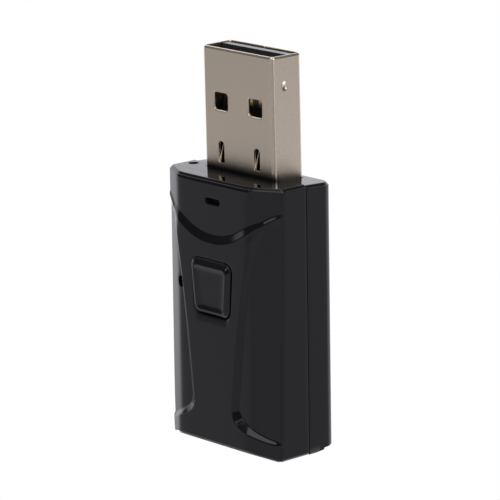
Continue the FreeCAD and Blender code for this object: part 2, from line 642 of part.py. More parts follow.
# ---------------------------------------------------------------------------
# board and what is soldered to it
board_blank = box("board_blank", "-boardHalf", "boardHalf", "boardFront", "boardFront+boardThick", "boardLow", "boardTop")
notch_l = box("board_notch_l", "-plugHalf-0.1", "-plugHalf+0.4", "0", "4", "24.3", "30")
notch_r = box("board_notch_r", "plugHalf-0.4", "plugHalf+0.1", "0", "4", "24.3", "30")
node(cut("board_solid", board_blank, notch_l, notch_r), "circuit_board")

node(box("chip_box", "-2.6", "2.6", "boardFront-0.85", "boardFront", "8.4", "13.6"), "bluetooth_chip")
node(box("crystal_box", "3.9", "6.4", "boardFront-0.7", "boardFront", "9.8", "11.8"), "crystal")
node(box("memory_box", "-6.6", "-3.9", "boardFront-0.8", "boardFront", "10.6", "13.2"), "memory_chip")
node(box("antenna_box", "-2.6", "2.6", "boardFront-1.2", "boardFront", "2.6", "4.4"), "chip_antenna")
node(box("regulator_box", "3.4", "6.2", "boardFront-1.1", "boardFront", "13.2", "14.8"), "voltage_regulator")
node(box("lamp_box", "-0.8", "0.8", "boardFront-0.7", "boardFront", "23.0", "23.8"), "status_lamp")
# clear bar that carries the lamp's light up to the slot in the front


def draw_guide(sk):
    polygon(sk, [("-3.2", "lampLow+0.06"), ("-1.2", "lampLow+0.06"), ("-1.2", "22.9"), ("boardFront-0.75", "22.9"),
                 ("boardFront-0.75", "23.9"), ("-0.3", "23.9"), ("-0.3", "lampTop-0.06"), ("-3.2", "lampTop-0.06")])


guide_bar = pad_body("guide_bar", "YZ_Plane", "-0.8", "1.6", draw_guide)
guide_head = pad_body("guide_head", "XZ_Plane", "2.7", "0.8", lambda sk: draw_pill(sk, 0.03))
node(fuse("guide_solid", guide_bar, guide_head), "light_guide")
mic_can = box("mic_can", "-7.1", "-4.3", "boardFront-1.0", "boardFront", "17.0", "20.8")
mic_port = rod("mic_port", "0.5", "-portX", "portZ", "boardFront-1.1", "boardFront-0.6")
node(cut("microphone_solid", mic_can, mic_port), "microphone")
caps = [box("cap_%d" % i, "%g" % x, "%g" % (x + 0.5), "boardFront-0.5", "boardFront", "%g" % z, "%g" % (z + 1.0))
        for i, (x, z) in enumerate(((-3.9, 8.6), (3.2, 8.4), (-1.6, 14.1), (0.2, 14.1), (1.9, 14.1), (6.6, 13.4)))]
node(compound("capacitor_group", *caps), "capacitors")
res = [box("res_%d" % i, "%g" % x, "%g" % (x + 1.0), "boardFront-0.35", "boardFront", "%g" % z, "%g" % (z + 0.5))
       for i, (x, z) in enumerate(((-3.0, 6.6), (-1.2, 6.6), (0.6, 6.6), (2.4, 6.6), (4.6, 16.2)))]
node(compound("resistor_group", *res), "resistors")

# push switch under the button
sw_block = box("switch_block", "-switchHalf", "switchHalf", "-switchFace+0.2", "boardFront", "switchMid-3", "switchMid+3")
sw_bore = rod("switch_bore", "stemDia+0.3", "0", "switchMid", "-switchFace-1", "0.75")
node(cut("switch_base_solid", sw_block, sw_bore), "switch_base")
sw_plate = box("switch_plate", "-switchHalf", "switchHalf", "-switchFace", "-switchFace+0.2", "switchMid-3", "switchMid+3")
sw_hole = rod("switch_plate_hole", "stemDia+0.2", "0", "switchMid", "-switchFace-1", "0")
node(cut("switch_cover_solid", sw_plate, sw_hole), "switch_cover")
node(rod("switch_stem", "stemDia", "0", "switchMid", "-flangeBack", "0.2"), "switch_plunger")
dome = doc.addObject("Part::Cylinder", "dome_disc")
dome.Radius = 1.6
dome.Height = 0.12
dome.Placement = FreeCAD.Placement(V(0, 0.62, D["switchMid"]), FreeCAD.Rotation(V(1, 0, 0), -90))
node(dome, "switch_dome")

# ---------------------------------------------------------------------------
doc.recompute()
bad = [o.Name for o in doc.Objects if "Invalid" in o.State or "Error" in o.State]
if bad:
    raise RuntimeError("not computed: %s" % bad)
seen = set()
for o in NODES:
    s = o.Shape
    if s.isNull() or not s.isValid() or not s.Solids:
        raise RuntimeError("bad shape: %s" % o.Label)
    if o.Label in seen:
        raise RuntimeError("label used twice: %s" % o.Label)
    seen.add(o.Label)
os.makedirs("parts", exist_ok=True)
for o in NODES:
    o.Shape.exportStep("parts/%s.step" % o.Label)
    b = o.Shape.BoundBox
    print("%-18s solids %d  vol %.3f  x %.2f..%.2f  y %.2f..%.2f  z %.2f..%.2f" % (
        o.Label, len(o.Shape.Solids), o.Shape.Volume, b.XMin, b.XMax, b.YMin, b.YMax, b.ZMin, b.ZMax))
print("nodes", len(NODES))
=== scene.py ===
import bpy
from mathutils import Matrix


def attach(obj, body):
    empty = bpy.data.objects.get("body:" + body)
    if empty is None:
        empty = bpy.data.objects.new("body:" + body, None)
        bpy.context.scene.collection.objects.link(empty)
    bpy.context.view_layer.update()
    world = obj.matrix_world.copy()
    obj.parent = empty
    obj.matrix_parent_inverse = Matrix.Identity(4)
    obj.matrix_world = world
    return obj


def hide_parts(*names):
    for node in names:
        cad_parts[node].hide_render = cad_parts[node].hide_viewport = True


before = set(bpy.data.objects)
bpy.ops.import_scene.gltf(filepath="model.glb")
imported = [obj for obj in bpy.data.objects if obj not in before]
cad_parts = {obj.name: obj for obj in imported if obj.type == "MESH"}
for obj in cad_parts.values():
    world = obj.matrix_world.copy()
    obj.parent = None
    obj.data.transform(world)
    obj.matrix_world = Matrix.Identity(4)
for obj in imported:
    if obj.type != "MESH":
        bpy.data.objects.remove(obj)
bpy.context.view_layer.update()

import math
import bpy
import bmesh
import numpy as np
from mathutils import Matrix, Vector

MM = 0.001
scene = bpy.context.scene

# ---------------------------------------------------------------------------
# sizes of the object in millimetres (row frame: X width, -Y front, Z up)
H = 31.75
SEAM = 1.35
BACK = 5.7
BACK_H = 31.6
BACK_FALL = 0.05
BACK_ROUND = 1.6
GAP = 0.045         # half of the fine gap between the two shells


def mix(a, b, t):
    return a + (b - a) * t


def half_wide(z):
    return mix(9.41, 9.75, z / H)


def corner_deep(z):
    return mix(2.85, 1.98, z / H)


def soft(x, w):
    """ramp that is 0 below 0 and x above it, rounded over w"""
    return 0.5 * (x + np.sqrt(x * x + w * w))


def level(front, flat, corner, half, x, w=0.55):
    """depth of a flat front with slanted flanks"""
    slope = (front - corner) / (half - flat)
    return front + slope * (soft(0.0, w) * 0.35) - slope * soft(np.abs(x) - flat, w)


def flat_wide(z):
    return mix(6.12, 6.30, z / H)


def floor_level(x, z):
    return level(mix(4.47, 3.97, z / H), flat_wide(z), corner_deep(z), half_wide(z), x)


def head_level(x, z):
    t = (z - 23.5) / (H - 23.5)
    return level(mix(4.225, 4.116, t), mix(6.05, 6.10, t), corner_deep(z) + 0.18, half_wide(z), x)


def panel_level(x, z):
    t = z / 28.0
    return level(mix(5.017, 4.46, t), mix(5.92, 6.45, t), corner_deep(z) + 0.18, half_wide(z), x)


def natural_spline(px, py):
    """natural cubic spline through the points; straight beyond its ends"""
    px, py = np.asarray(px, float), np.asarray(py, float)
    n = len(px)
    hstep = np.diff(px)
    a = np.zeros((n, n))
    b = np.zeros(n)
    a[0, 0] = a[-1, -1] = 1
    for i in range(1, n - 1):
        a[i, i - 1], a[i, i], a[i, i + 1] = hstep[i - 1], 2 * (hstep[i - 1] + hstep[i]), hstep[i]
        b[i] = 6 * ((py[i + 1] - py[i]) / hstep[i] - (py[i] - py[i - 1]) / hstep[i - 1])
    m = np.linalg.solve(a, b)

    def f(x):
        x = np.asarray(x, float)
        xc = np.clip(x, px[0], px[-1])
        i = np.clip(np.searchsorted(px, xc) - 1, 0, n - 2)
        hh = hstep[i]
        t0, t1 = px[i + 1] - xc, xc - px[i]
        y = m[i] * t0 ** 3 / (6 * hh) + m[i + 1] * t1 ** 3 / (6 * hh) + (py[i] / hh - m[i] * hh / 6) * t0 + (py[i + 1] / hh - m[i + 1] * hh / 6) * t1
        s0 = (py[1] - py[0]) / hstep[0] - hstep[0] * (2 * m[0] + m[1]) / 6
        s1 = (py[-1] - py[-2]) / hstep[-1] + hstep[-1] * (2 * m[-1] + m[-2]) / 6
        return y + np.where(x < px[0], (x - px[0]) * s0, 0) + np.where(x > px[-1], (x - px[-1]) * s1, 0)
    return f


# relief lines of the front, X and Z
SMILE_HIGH = [(0, 25.30), (1.1, 25.36), (2.2, 25.58), (3.2, 25.87), (4.3, 26.36), (5.14, 26.83), (5.62, 27.07), (6.05, 27.26), (6.42, 27.45), (6.95, 27.69), (7.42, 27.88), (7.9, 28.10), (8.38, 28.38), (8.85, 28.60), (9.4, 28.77)]
SMILE_LOW = [(0, 24.45), (1.2, 24.49), (2.4, 24.70), (3.4, 25.02), (4.4, 25.48), (5.12, 25.90), (5.6, 26.20), (6.04, 26.50), (6.41, 26.79), (6.76, 27.02), (7.09, 27.20), (7.41, 27.38), (7.74, 27.57), (8.06, 27.745), (8.38, 27.93), (8.7, 28.13), (9.02, 28.33), (9.4, 28.55)]
SIDE_CREST = [(6.75, 29.0), (6.62, 28.0), (6.42, 26.72), (6.02, 24.5), (5.30, 20.6), (4.54, 16.0), (3.78, 10.5), (3.2, 5.3)]
FOOT_CREST = [(3.2, 5.3), (3.5, 4.35), (4.2, 3.72), (5.2, 3.25), (6.3, 2.83), (7.6, 2.36), (9.1, 1.98), (11.5, 1.6)]
SIDE_ROOT = [(9.0, 29.0), (8.6, 28.2), (7.9, 27.0), (6.95, 24.5), (5.95, 20.6), (5.22, 16.0), (4.52, 10.5), (4.0, 5.9)]
FOOT_ROOT = [(4.0, 5.9), (4.18, 5.05), (4.75, 4.4), (5.5, 3.93), (6.5, 3.40), (7.8, 2.75), (9.2, 2.30), (11.5, 1.9)]
smile_high = natural_spline(*zip(*SMILE_HIGH))
smile_low = natural_spline(*zip(*SMILE_LOW))


def line_of(points, n=10):
    """points sampled along a smooth line through the given ones"""
    p = np.array(points, float)
    s = np.r_[0, np.cumsum(np.hypot(*np.diff(p, axis=0).T))]
    fx, fz = natural_spline(s, p[:, 0]), natural_spline(s, p[:, 1])
    q = np.linspace(0, s[-1], n * (len(p) - 1) + 1)
    return np.c_[fx(q), fz(q)]


def signed_distance(px, pz, line):
    """distance to a line that runs from the top to the bottom right; positive on its inner side"""
    best = np.full(px.shape, 1e9)
    for (x0, z0), (x1, z1) in zip(line[:-1], line[1:]):
        dx, dz = x1 - x0, z1 - z0
        t = np.clip(((px - x0) * dx + (pz - z0) * dz) / (dx * dx + dz * dz), 0, 1)
        best = np.minimum(best, (px - x0 - t * dx) ** 2 + (pz - z0 - t * dz) ** 2)
    poly = np.vstack([line, [(12, -4), (-2, -4), (-2, 30), (line[0][0], 30)]])
    inside = np.zeros(px.shape, bool)
    for (x0, z0), (x1, z1) in zip(poly, np.roll(poly, -1, axis=0)):
        if z0 == z1:
            continue
        hit = (pz >= min(z0, z1)) & (pz < max(z0, z1)) & (px < x0 + (pz - z0) * (x1 - x0) / (z1 - z0))
        inside ^= hit
    d = np.sqrt(best)
    return np.where(inside, d, -d)


def step01(t):
    t = np.clip(t, 0, 1)
    return t * t * (3 - 2 * t)


def trapezoid_distance(x, z, top=3.62, low=3.14, z0=15.83, z1=22.52, r=1.2):
    """distance outside the rounded trapezoid of the button's opening"""
    x = np.abs(x - 0.08)
    k = (top - low) / (z1 - z0)
    nx = 1 / math.hypot(1, k)
    nz = -k * nx
    side = (x - (low + (z - z0) * k)) * nx + 0 * nz
    d1, d2, d3 = side + r, (z - z1) + r, (z0 - z) + r
    a = np.maximum(d1, 0)
    b = np.maximum(np.maximum(d2, d3), 0)
    return np.hypot(a, b) + np.minimum(np.maximum(d1, np.maximum(d2, d3)), 0) - r


def pill_distance(x, z, half=1.25, zc=29.2, r=0.37):
    return np.hypot(np.maximum(np.abs(x) - (half - r), 0), z - zc) - r


def port_distance(x, z):
    return np.hypot(x + 5.98, z - 18.85) - 0.66


# the relief is worked out on a fine grid and softened there
STEP = 0.05
gx = np.arange(-10.0, 10.0 + STEP / 2, STEP)
gz = np.arange(-0.6, H + 0.6 + STEP / 2, STEP)
GX, GZ = np.meshgrid(gx, gz)


def relief_field():
    ax = np.abs(GX)
    crest = np.vstack([line_of(SIDE_CREST), line_of(FOOT_CREST)[1:]])
    root = np.vstack([line_of(SIDE_ROOT), line_of(FOOT_ROOT)[1:]])
    d_root = signed_distance(ax, GZ, root)
    d_crest = signed_distance(ax, GZ, crest)
    t = np.where(d_crest >= 0, 1.0, np.where(d_root <= 0, 0.0, d_root / np.maximum(d_root - d_crest, 1e-6)))
    scoop, head, panel = floor_level(GX, GZ), head_level(GX, GZ), panel_level(GX, GZ)
    # the foot's step dies out before the corner
    t = t * (1 - step01((ax - 8.75) / 0.6) * step01((6.0 - GZ) / 1.0))
    low = scoop + (panel - scoop) * t
    hi_line, lo_line = smile_high(ax), smile_low(ax)
    # crest of the smile: panel level in the middle, a low ridge out on the flank
    wide = np.maximum(hi_line - lo_line, 1e-3)
    steep = np.interp(ax, [5.3, 5.9, 6.2, 6.45, 7.0, 7.4, 7.8, 8.8, 9.2], [0.45, 0.39, 0.32, 0.27, 0.22, 0.22, 0.39, 0.41, 0.52])
    ridge = np.minimum(panel - head, steep * wide)
    ridge = mix(ridge, steep * wide, step01((ax - 6.4) / 0.6)) * (1 - step01((ax - 9.35) / 0.3))
    crest_level = head + ridge
    u = np.clip((hi_line - GZ) / wide, 0, 1)
    knee = np.clip(1 - 0.15 / wide, 0.05, 0.95)
    last = np.clip(0.07 / np.maximum(ridge, 1e-3), 0, 0.55)
    bent = np.where(u < knee, (1 - last) * u / knee, 1 - last + last * (u - knee) / (1 - knee))
    share = step01((ax - 6.85) / 0.25) * (1 - step01((ax - 7.35) / 0.35))
    above = head + ridge * mix(u, bent, share)
    fall = step01((lo_line - GZ) / np.interp(ax, [5.3, 6.0, 7.0, 7.4], [0.05, 2.4, 2.4, 1.2]))
    below = crest_level + (low - crest_level) * np.where(ax < 5.3, 1.0, fall)
    f = np.where(GZ >= lo_line, above, below)
    return f


def blur(a, sigma_mm):
    s = sigma_mm / STEP
    n = max(1, int(math.ceil(3.5 * s)))
    k = np.exp(-0.5 * (np.arange(-n, n + 1) / s) ** 2)
    k /= k.sum()
    for axis in (0, 1):
        pad = [(n, n) if i == axis else (0, 0) for i in (0, 1)]
        p = np.pad(a, pad, mode="edge")
        a = sum(w * (p[i:i + a.shape[0], :] if axis == 0 else p[:, i:i + a.shape[1]]) for i, w in enumerate(k))
    return a


RELIEF = blur(relief_field(), 0.05)
# soft rims round the openings
for dist, width, drop in ((trapezoid_distance(GX, GZ), 0.10, 0.02), (pill_distance(GX, GZ), 0.08, 0.02), (port_distance(GX, GZ), 0.1, 0.04)):
    q = np.clip(1 - np.maximum(dist, 0) / width, 0, 1)
    RELIEF = RELIEF - drop * q * q
# shallow finger recess under the button
q = np.clip((GZ - 14.65) / 1.28, 0, 1) ** 1.25 * (GZ < 17.0) * (1 - step01((np.abs(GX) - 2.3) / 0.8))
RELIEF = RELIEF - 0.13 * q


def front_depth(x, z):
    """depth of the front surface in front of Y=0, bilinear on the fine grid"""
    fx = np.clip((np.asarray(x) - gx[0]) / STEP, 0, len(gx) - 1.001)
    fz = np.clip((np.asarray(z) - gz[0]) / STEP, 0, len(gz) - 1.001)
    i, j = fx.astype(int), fz.astype(int)
    u, v = fx - i, fz - j
    return (RELIEF[j, i] * (1 - u) * (1 - v) + RELIEF[j, i + 1] * u * (1 - v)
            + RELIEF[j + 1, i] * (1 - u) * v + RELIEF[j + 1, i + 1] * u * v)


# ---------------------------------------------------------------------------
# mesh helpers
def mesh_object(name, verts, faces, smooth=True):
    me = bpy.data.meshes.new(name)
    me.from_pydata([tuple(float(c) * MM for c in v) for v in verts], [], faces)
    me.validate()
    bm = bmesh.new()
    bm.from_mesh(me)
    bmesh.ops.recalc_face_normals(bm, faces=bm.faces)
    bm.to_mesh(me)
    bm.free()
    if smooth:
        me.shade_smooth()
    ob = bpy.data.objects.new(name, me)
    scene.collection.objects.link(ob)
    return ob


def carve(ob, cutters, operation="DIFFERENCE", solver="MANIFOLD"):
    """booleans applied one after another"""
    for c in cutters:
        m = ob.modifiers.new("carve", "BOOLEAN")
        m.operation = operation
        m.object = c
        m.solver = solver
        bpy.context.view_layer.update()
        dg = bpy.context.evaluated_depsgraph_get()
        me = bpy.data.meshes.new_from_object(ob.evaluated_get(dg), depsgraph=dg)
        ob.modifiers.clear()
        ob.data = me
    for c in cutters:
        bpy.data.objects.remove(c)
    return ob


def bevel(ob, width_mm, segments=2, angle=40, apply=True):
    m = ob.modifiers.new("bevel", "BEVEL")
    m.width = width_mm * MM
    m.segments = segments
    m.limit_method = "ANGLE"
    m.angle_limit = math.radians(angle)
    m.use_clamp_overlap = True
    if apply:
        bpy.context.view_layer.update()
        dg = bpy.context.evaluated_depsgraph_get()
        me = bpy.data.meshes.new_from_object(ob.evaluated_get(dg), depsgraph=dg)
        ob.modifiers.clear()
        ob.data = me
    return ob


def weigh(ob):
    """flat faces stay flat beside small roundings"""
    m = ob.modifiers.new("weigh", "WEIGHTED_NORMAL")
    m.mode = "FACE_AREA"
    m.weight = 100
    m.keep_sharp = True
    return ob


def sharp(ob, degrees=35):
    ob.data.shade_smooth()
    ob.data.set_sharp_from_angle(angle=math.radians(degrees))
    return ob


def box_mesh(name, x0, x1, y0, y1, z0, z1):
    v = [(x, y, z) for z in (z0, z1) for y in (y0, y1) for x in (x0, x1)]
    f = [(0, 1, 3, 2), (4, 6, 7, 5), (0, 4, 5, 1), (2, 3, 7, 6), (0, 2, 6, 4), (1, 5, 7, 3)]
    return mesh_object(name, v, f, False)


def prism(name, outline, y0, y1):
    """outline in X, Z pushed from y0 to y1"""
    n = len(outline)
    v = [(x, y0, z) for x, z in outline] + [(x, y1, z) for x, z in outline]
    f = [tuple(range(n)), tuple(range(2 * n - 1, n - 1, -1))]
    f += [(i, i + n, (i + 1) % n + n, (i + 1) % n) for i in range(n)]
    return mesh_object(name, v, f, False)


def stack(name, rings, cap_first=True, cap_last=True):
    """skin over closed rings of equal length"""
    n = len(rings[0])
    v = [p for ring in rings for p in ring]
    f = []
    for k in range(len(rings) - 1):
        a, b = k * n, (k + 1) * n
        f += [(a + i, a + (i + 1) % n, b + (i + 1) % n, b + i) for i in range(n)]
    if cap_first:
        f.append(tuple(range(n - 1, -1, -1)))
    if cap_last:
        f.append(tuple(range((len(rings) - 1) * n, len(rings) * n)))
    return mesh_object(name, v, f)


def rounded_outline(half_top, half_low, z0, z1, r, arc=10, run=1):
    """rounded trapezoid outline in X, Z, anticlockwise seen from the front"""
    pts = [np.array(p, float) for p in ((-half_low, z0), (half_low, z0), (half_top, z1), (-half_top, z1))]
    out = []
    for i in range(4):
        p = pts[i]
        a = pts[i - 1] - p
        b = pts[(i + 1) % 4] - p
        a /= np.linalg.norm(a)
        b /= np.linalg.norm(b)
        half = math.acos(np.clip(a @ b, -1, 1)) / 2
        c = p + (a + b) / np.linalg.norm(a + b) * r / math.sin(half)
        s, e = p + a * r / math.tan(half) - c, p + b * r / math.tan(half) - c
        a0, a1 = math.atan2(s[1], s[0]), math.atan2(e[1], e[0])
        while a1 < a0:
            a1 += 2 * math.pi
        for k in range(arc + 1):
            t = a0 + (a1 - a0) * k / arc
            out.append((c[0] + r * math.cos(t), c[1] + r * math.sin(t)))
    if run > 1:
        more = []
        for i, p in enumerate(out):
            more.append(p)
            q = out[(i + 1) % len(out)]
            if math.hypot(q[0] - p[0], q[1] - p[1]) > 1.0:
                for k in range(1, run):
                    t = k / run
                    more.append((mix(p[0], q[0], t), mix(p[1], q[1], t)))
        out = more
    return out


# ---------------------------------------------------------------------------
# materials
def principled(name, color, rough, metallic=0.0, ior=1.5, coat=0.0, coat_rough=0.03, spec=None):
    m = bpy.data.materials.new(name)
    m.use_nodes = True
    b = m.node_tree.nodes["Principled BSDF"]
    b.inputs["Base Color"].default_value = (*color, 1)
    b.inputs["Roughness"].default_value = rough
    b.inputs["Metallic"].default_value = metallic
    b.inputs["IOR"].default_value = ior
    b.inputs["Coat Weight"].default_value = coat
    b.inputs["Coat Roughness"].default_value = coat_rough
    if spec is not None:
        b.inputs["Specular IOR Level"].default_value = spec
    return m


def add_bump(m, scale, strength, distance_mm, stretch=(1, 1, 1), detail=4.0):
    nt = m.node_tree
    b = nt.nodes["Principled BSDF"]
    tc = nt.nodes.new("ShaderNodeTexCoord")
    mp = nt.nodes.new("ShaderNodeMapping")
    mp.inputs["Scale"].default_value = [scale * s for s in stretch]
    nz = nt.nodes.new("ShaderNodeTexNoise")
    nz.inputs["Scale"].default_value = 1.0
    nz.inputs["Detail"].default_value = detail
    bp = nt.nodes.new("ShaderNodeBump")
    bp.inputs["Strength"].default_value = strength
    bp.inputs["Distance"].default_value = distance_mm * MM
    nt.links.new(tc.outputs["Object"], mp.inputs["Vector"])
    nt.links.new(mp.outputs["Vector"], nz.inputs["Vector"])
    nt.links.new(nz.outputs["Fac"], bp.inputs["Height"])
    nt.links.new(bp.outputs["Normal"], b.inputs["Normal"])
    return nz


mat_case = principled("case_black", (0.0044, 0.0045, 0.0060), 0.06, ior=1.5)
mat_button = principled("button_black", (0.006, 0.006, 0.009), 0.08, ior=1.5)
mat_lens = principled("smoked_plastic", (0.012, 0.012, 0.013), 0.4, ior=1.45, spec=0.1)
mat_plug = principled("plug_nickel", (0.84, 0.725, 0.58), 0.25, metallic=1.0)
grain = add_bump(mat_plug, 7000, 0.10, 0.004, (0.6, 0.6, 1.6), 3)
mat_insulator = principled("insulator_black", (0.045, 0.045, 0.047), 0.2, ior=1.6)


def brushed_with_base_shade(m, noise, dark, light):
    """highlights drawn out upwards, with a fine uneven tone, and painted shade darkening the base colour where the
    tube leaves the case
    """
    nt = m.node_tree
    b = nt.nodes["Principled BSDF"]
    b.inputs["Anisotropic"].default_value = 0.7
    b.inputs["Anisotropic Rotation"].default_value = 0.25
    tg = nt.nodes.new("ShaderNodeTangent")
    tg.direction_type = "RADIAL"
    tg.axis = "Z"
    nt.links.new(tg.outputs["Tangent"], b.inputs["Tangent"])
    ramp = nt.nodes.new("ShaderNodeValToRGB")
    ramp.color_ramp.elements[0].position = 0.36
    ramp.color_ramp.elements[0].color = (*dark, 1)
    ramp.color_ramp.elements[1].position = 0.64
    ramp.color_ramp.elements[1].color = (*light, 1)
    nt.links.new(noise.outputs["Fac"], ramp.inputs["Fac"])
    # painted shade: the base colour darkens where the tube leaves the case, standing in for shade and the black case
    # top mirrored in the metal there
    tc = nt.nodes.new("ShaderNodeTexCoord")
    sp = nt.nodes.new("ShaderNodeSeparateXYZ")
    base_shade = nt.nodes.new("ShaderNodeMapRange")
    base_shade.interpolation_type = "SMOOTHSTEP"
    base_shade.inputs["From Min"].default_value = 31.8 * MM
    base_shade.inputs["From Max"].default_value = 32.7 * MM
    # the painted shade is deepest near the front face (Y below 0.3 mm) and lighter further back
    side = nt.nodes.new("ShaderNodeMapRange")
    side.inputs["From Min"].default_value = 0.3 * MM
    side.inputs["From Max"].default_value = 0.9 * MM
    side.inputs["To Min"].default_value = 0.08
    side.inputs["To Max"].default_value = 0.85
    base_shade.inputs["To Max"].default_value = 1.0
    mul = nt.nodes.new("ShaderNodeVectorMath")
    mul.operation = "SCALE"
    nt.links.new(tc.outputs["Object"], sp.inputs[0])
    nt.links.new(sp.outputs["Z"], base_shade.inputs["Value"])
    nt.links.new(sp.outputs["Y"], side.inputs["Value"])
    nt.links.new(side.outputs["Result"], base_shade.inputs["To Min"])
    nt.links.new(ramp.outputs["Color"], mul.inputs[0])
    nt.links.new(base_shade.outputs["Result"], mul.inputs["Scale"])
    nt.links.new(mul.outputs["Vector"], b.inputs["Base Color"])


brushed_with_base_shade(mat_plug, grain, (0.78, 0.677, 0.543), (0.93, 0.802, 0.645))
mat_gold = principled("contact_gold", (0.95, 0.68, 0.28), 0.22, metallic=1.0)
mat_board = principled("board_green", (0.01, 0.09, 0.035), 0.35)
mat_chip = principled("chip_black", (0.015, 0.015, 0.015), 0.5)
mat_can = principled("can_metal", (0.68, 0.67, 0.65), 0.3, metallic=1.0)
mat_white = principled("ceramic_white", (0.75, 0.75, 0.72), 0.5)
mat_tan = principled("ceramic_tan", (0.45, 0.32, 0.2), 0.5)
mat_plunger = principled("plunger_plastic", (0.03, 0.03, 0.03), 0.5)


def finish(ob, mat, slot_name, body, *nodes):
    ob.data.materials.clear()
    ob.data.materials.append(mat)
    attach(ob, body)
    if nodes:
        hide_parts(*nodes)
    return ob


# ---------------------------------------------------------------------------
# front shell: skin from the seam on the right, round the front, to the seam on the left
def toe_plane(y):
    return np.maximum(0.0, 0.425 * (-3.0 - np.asarray(y, float)))


def spaced(a, b, step):
    n = max(1, int(round((b - a) / step)))
    return list(np.linspace(a, b, n + 1))[:-1]


def front_columns():
    """fractions of the front between the rounded corners"""
    xs = spaced(-9.0, -3.8, 0.085) + spaced(-3.8, -2.7, 0.06) + spaced(-2.7, 2.7, 0.1) + spaced(2.7, 3.8, 0.06) + spaced(3.8, 9.0, 0.085) + [9.0]
    return np.array(xs) / 9.0


R1 = 0.55          # rounding between flank and side wall


def corner_round(z, side):
    """the left corner gets rounder towards the bottom"""
    z = np.asarray(z, float)
    return R1 + 0 * z if side > 0 else R1 + 0.35 * (1 - z / H) + 1.4 * np.exp(-np.maximum(z, 0) / 1.8)


SEAM_ROUND = 0.05


def section(z):
    """one outline of the front shell at height z (an array, one value per column)"""
    cols = front_columns()
    n = len(cols)
    zf = z[COL_FRONT]
    hw = half_wide(zf)
    th = np.arctan2(mix(4.47, 3.97, zf / H) - corner_deep(zf), hw - flat_wide(zf))
    turn = math.pi / 2 - th
    k = np.where(cols > 0, corner_round(zf, 1), corner_round(zf, -1)) * np.tan(turn / 2)
    edge = hw - k * np.cos(th)
    x = cols * edge
    y = -front_depth(x, zf)
    front = np.c_[x, y, zf]
    out = []
    for side in (1, -1):
        zc = z[COL_RIGHT if side > 0 else COL_LEFT]
        hw = half_wide(zc)
        th = np.arctan2(mix(4.47, 3.97, zc / H) - corner_deep(zc), hw - flat_wide(zc))
        turn = math.pi / 2 - th
        r1 = corner_round(zc, side)
        k = r1 * np.tan(turn / 2)
        edge = hw - k * np.cos(th)
        lift = front_depth(side * edge, zc)
        base = corner_deep(zc) + k * np.sin(th)
        extra = lift - base
        # centre of the rounding
        cx, cy = hw - r1, -(corner_deep(zc) - k)
        pts = np.zeros((len(zc), 3))
        for i, (kind, t) in enumerate(SIDE_MARKS):
            if kind == "round":
                phi = turn[i] * t
                px = cx[i] + r1[i] * math.cos(phi)
                py = cy[i] - r1[i] * math.sin(phi)
                w = 0.35 + 0.65 * math.sin(phi) / max(math.sin(turn[i]), 1e-6)
                pts[i] = (px, py - extra[i] * w, zc[i])
            elif kind == "wall":
                y0 = cy[i]
                y1 = SEAM - GAP - SEAM_ROUND
                py = mix(y1, y0, t)
                w = 0.35 * float(step01(1 - (y0 - py) / -1.2))
                pts[i] = (hw[i], py - extra[i] * w, zc[i])
            else:
                a = t * math.pi / 2
                pts[i] = (hw[i] - SEAM_ROUND * (1 - math.sin(a)), SEAM - GAP - SEAM_ROUND * (1 - math.cos(a)), zc[i])
        pts[:, 0] *= side
        out.append(pts)
    right, left = out
    return np.vstack([right, front[::-1], left[::-1]])


# marks along the right side, from the seam to the front
SIDE_MARKS = ([("seam", t) for t in (0.0, 0.33, 0.66)] + [("wall", t) for t in (0.0, 0.15, 0.35, 0.5, 0.6, 0.7, 0.78, 0.86, 0.93)]
              + [("round", t) for t in np.linspace(0, 1, 11)[:-1]])
NS, NF = len(SIDE_MARKS), len(front_columns())
COL_RIGHT = slice(0, NS)
COL_FRONT = slice(NS, NS + NF)
COL_LEFT = slice(NS + NF, 2 * NS + NF)
NC = 2 * NS + NF


def front_section(z_scalar=None, z_cols=None):
    """z_cols is ordered right side, front (left to right), left side"""
    z = np.full(NC, float(z_scalar)) if z_cols is None else np.asarray(z_cols, float)
    return section(z)


def order_cols(ring):
    """the order in which section() returns its columns, back to right, front, left"""
    right, front, left = ring[:NS], ring[NS:NS + NF], ring[NS + NF:]
    return np.r_[right, front[::-1], left[::-1]]


def inward(ring):
    """unit vectors in X, Y pointing into the outline"""
    d = np.gradient(ring[:, :2], axis=0)
    nrm = np.c_[d[:, 1], -d[:, 0]]
    nrm /= np.maximum(np.linalg.norm(nrm, axis=1), 1e-9)[:, None]
    flip = np.sign((nrm * (np.array([0.0, 0.3]) - ring[:, :2])).sum(axis=1))
    nrm *= np.where(flip == 0, 1, flip)[:, None]
    return nrm


def inset(ring, amount, z, keep_seam=True):
    """outline moved inwards; the ends stay in the seam plane"""
    nrm = inward(ring)
    amount = np.broadcast_to(amount, (len(ring),))
    r = ring.copy()
    r[:, :2] += nrm * amount[:, None]
    if keep_seam:
        r[0, 1] = r[-1, 1] = SEAM - GAP
        s = np.sign(ring[:, 0])
        for i in (0, 1, 2, -1, -2, -3):
            r[i, 0] = ring[i, 0] - s[i] * amount[i]
            r[i, 1] = ring[i, 1]
    r[:, 2] = z
    return r


TOP_FLAT = [(0.0, -0.62), (0.0, -0.59), (0.065, -0.45), (0.128, -0.315), (0.134, -0.306), (0.176, -0.290), (0.184, -0.28), (0.26, -0.15), (0.325, -0.045), (0.34, -0.025), (0.362, -0.01), (0.39, -0.002), (0.43, 0.0), (0.56, 0.0)]
TOP_PATH = [(0.0, -0.62), (0.0, -0.50), (0.0, -0.42), (0.0, -0.372), (0.004, -0.365), (0.032, -0.339), (0.070, -0.323), (0.18, -0.20), (0.30, -0.066), (0.335, -0.032), (0.372, -0.011), (0.405, -0.002), (0.44, 0.0), (0.56, 0.0)]


